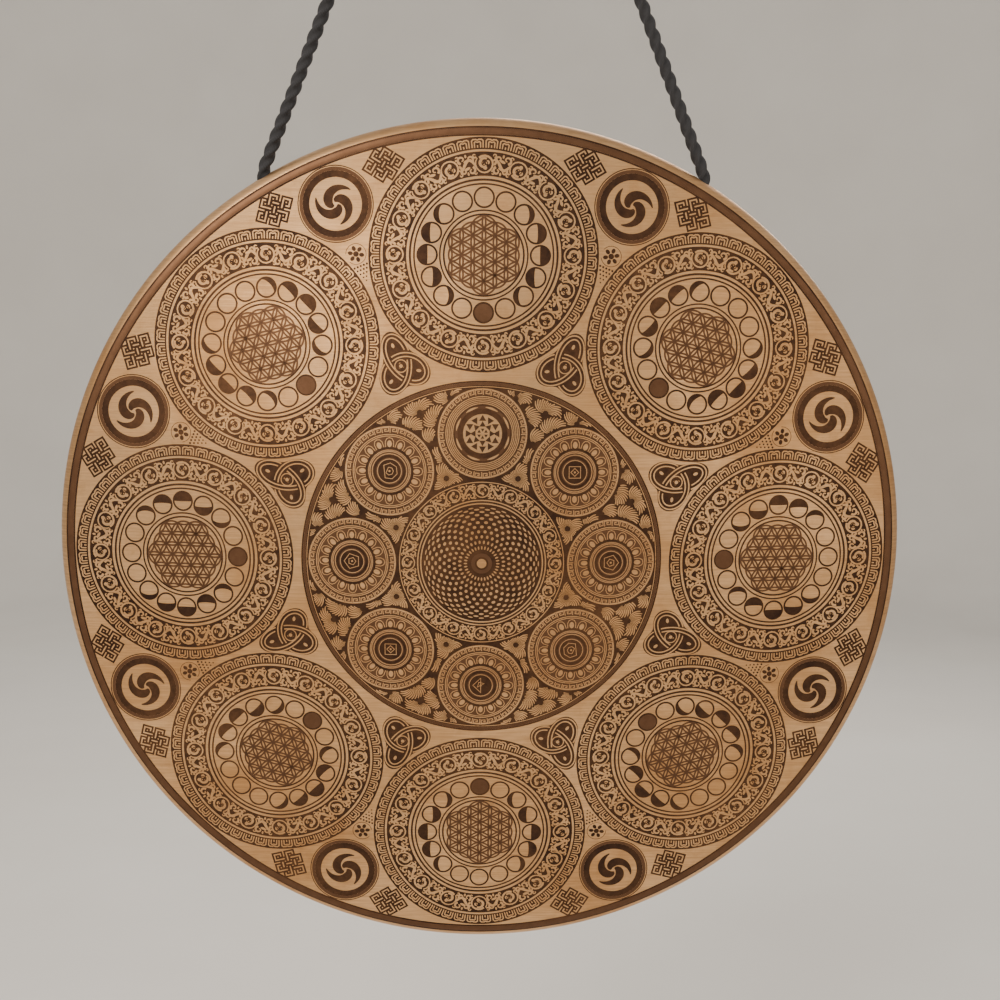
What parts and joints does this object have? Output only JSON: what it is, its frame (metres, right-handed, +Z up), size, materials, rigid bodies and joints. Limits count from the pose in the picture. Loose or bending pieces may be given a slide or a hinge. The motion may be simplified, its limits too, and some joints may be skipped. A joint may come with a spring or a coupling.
{
  "type": "tam tam gong",
  "caption": "Round bronze gong with a domed, etched face and a turned-back rim, hung by black ropes with eyes and knots from steel screw hooks.",
  "frame": {"origin": "on the underside of the beam, midway between the two hook shanks", "axes": "+Z up along the hook shanks, the striking face looks along -Y, +X to the right as the face is seen"},
  "size_m": [0.7999, 0.1089, 1.0763],
  "materials": {
    "bronze": "hammered and etched bronze, warm brown patina, satin",
    "rope": "black twisted rope, matt",
    "steel": "zinc-plated steel, satin"
  },
  "bodies": {
    "hooks": {"hook_left": "steel", "hook_right": "steel"},
    "ropes": {"cord_left": "rope", "cord_right": "rope", "loop_left": "rope", "loop_right": "rope"},
    "gong": {"gong": "bronze", "stopper_left": "rope", "stopper_right": "rope"}
  },
  "joints": [
    {"name": "swing", "type": "hinge", "parent": "hooks", "child": "ropes", "pos_m": [0, 0, -0.04671], "axis": [1, 0, 0], "range_deg": [-20, 20]},
    {"name": "rock", "type": "hinge", "parent": "ropes", "child": "gong", "pos_m": [0, 0, -0.29], "axis": [1, 0, 0], "range_deg": [-15, 15]}
  ]
}
